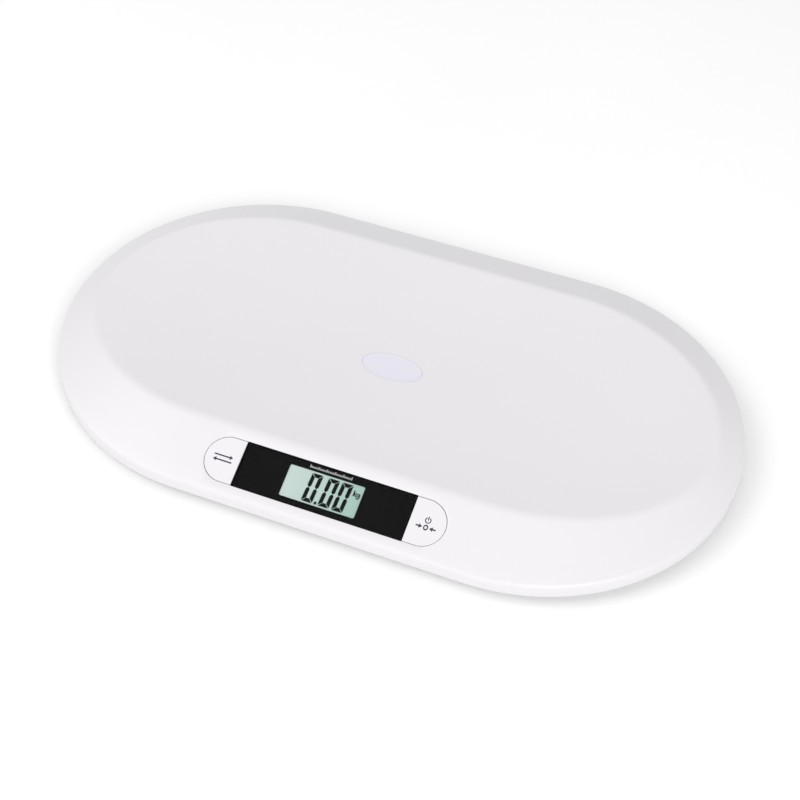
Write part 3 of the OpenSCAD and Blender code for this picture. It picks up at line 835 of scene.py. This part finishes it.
# ----------------------------------------------------------------------- keys
def make_key(name, side, node, body):
    """Key cap with a rounded top edge above its retaining flange."""
    flange = key_outline(KEY_FLANGE, side)
    layers = [(flange, -KEY_DEPTH), (flange, -FLANGE_TOP)]
    layers += rounded_top(
        lambda inset: key_outline(-KEY_GAP - inset, side), -FLANGE_TOP, 0.0, 0.35 * MM, 4
    )
    cap = stack(name, layers, MATERIALS["key_plastic"])
    ride_as(cap, body, "key_plastic", node)


def arrow(x, y, length, direction):
    """Arrow in millimetres, pointing along +X or -X."""
    head, half, shaft = 2.6, 1.7, 0.55
    points = [(0, -shaft), (length - head, -shaft), (length - head, -half), (length, 0)]
    points += [(length - head, half), (length - head, shaft), (0, shaft)]
    return [((x + direction * px) * MM, (y + py) * MM) for px, py in points]


def unit_mark():
    """Two opposed arrows: change over."""
    return [arrow(-7.5, 1.8, 15.0, 1), arrow(7.5, -1.8, 15.0, -1)]


def power_mark():
    """Broken ring with a bar, over a nought between two inward arrows."""
    ring_y, nought_y = 2.5, -3.0
    return [
        band(2.0, 0.75, 120, 420, (0, ring_y)),
        bar(-0.38, ring_y, 0.38, ring_y + 2.9),
        band(1.4, 0.9, 0, 360, (0, nought_y), 1.2),
        arrow(-7.6, nought_y, 5.0, 1),
        arrow(7.6, nought_y, 5.0, -1),
    ]


def make_keys():
    """Unit key on the left and tare key on the right, each with its printed mark."""
    ink = printed_ink("key_print", (0.035, 0.038, 0.06), 0.45)
    for name, side, shapes in (("unit", -1, unit_mark()), ("tare", 1, power_mark())):
        body = f"{name}_key_button"
        make_key(f"{name}_key_cap", side, f"{name}_key", body)
        mark = flat_print(f"{name}_key_mark", shapes, ink, 0.0, (side * KEY_MARK_X, 0.0))
        ride_as(mark, body, "key_plastic")


# ------------------------------------------------------- finishes on CAD nodes
def dress_frame():
    """Gives each CAD node the material of its own slot."""
    slots = {entry["node"]: entry["material_slot"] for entry in frame["record"]["subparts"]}
    for name, node in frame["nodes"].items():
        node.data.materials.clear()
        node.data.materials.append(MATERIALS[slots[name]])


# --------------------------------------------------------- floor, light, view
FLOOR_HALF = 6.0
SOFTBOX_SIZE = 2.4
SURROUND = 0.67


def make_floor():
    """Flat square under the scale."""
    mesh = bmesh.new()
    bmesh.ops.create_grid(mesh, x_segments=8, y_segments=8, size=FLOOR_HALF)
    floor = finish_mesh("floor", mesh, studio_floor("floor_pale"))


def softbox(name, place, power):
    """Round soft light aimed at the middle of the floor."""
    light = bpy.data.lights.new(name, "AREA")
    light.shape = "DISK"
    light.size = SOFTBOX_SIZE
    light.energy = power
    holder = bpy.data.objects.new(name, light)
    holder.location = place
    holder.rotation_euler = (-Vector(place)).to_track_quat("-Z", "Y").to_euler()
    bpy.context.scene.collection.objects.link(holder)


def make_lights():
    """Two soft boxes in front of the scale and an even white surround."""
    softbox("left_box", (-2.2, -1.1, 2.35), 37)
    softbox("right_box", (1.75, -2.1, 2.0), 54)
    world = bpy.data.worlds.new("studio")
    world.use_nodes = True
    background = world.node_tree.nodes["Background"]
    background.inputs["Color"].default_value = (1.0, 1.0, 1.0, 1)
    background.inputs["Strength"].default_value = SURROUND
    bpy.context.scene.world = world
    bpy.context.scene.view_settings.view_transform = "Standard"


# The camera's direction and distance come from fitting it to the photo's outline.
AZIMUTH = math.radians(21.805)
ELEVATION = math.radians(49.042)
SENSOR = 36.0
FOCAL_SHARE = 1.912
CAMERA_RIGHT = 5.29 * MM
CAMERA_UP = -19.43 * MM
CAMERA_DISTANCE = 1192 * MM


def make_camera():
    """Looks down on the display side from the right; shifts place it off the axis."""
    forward = Vector(
        (
            -math.sin(AZIMUTH) * math.cos(ELEVATION),
            math.cos(AZIMUTH) * math.cos(ELEVATION),
            -math.sin(ELEVATION),
        )
    )
    right = Vector((math.cos(AZIMUTH), math.sin(AZIMUTH), 0))
    up = right.cross(forward)
    data = bpy.data.cameras.new("camera")
    data.sensor_width = SENSOR
    data.lens = SENSOR * FOCAL_SHARE
    camera = bpy.data.objects.new("camera", data)
    aim = UP * RIDGE_Z + right * CAMERA_RIGHT + up * CAMERA_UP
    camera.location = aim - forward * CAMERA_DISTANCE
    camera.rotation_euler = forward.to_track_quat("-Z", "Y").to_euler()
    bpy.context.scene.collection.objects.link(camera)
    bpy.context.scene.camera = camera


make_camera()
dress_frame()
make_cover()
make_badge()
make_badge_line()
make_lens()
make_mask()
make_cell()
make_reading()
make_tick_row()
make_keys()
make_floor()
make_lights()
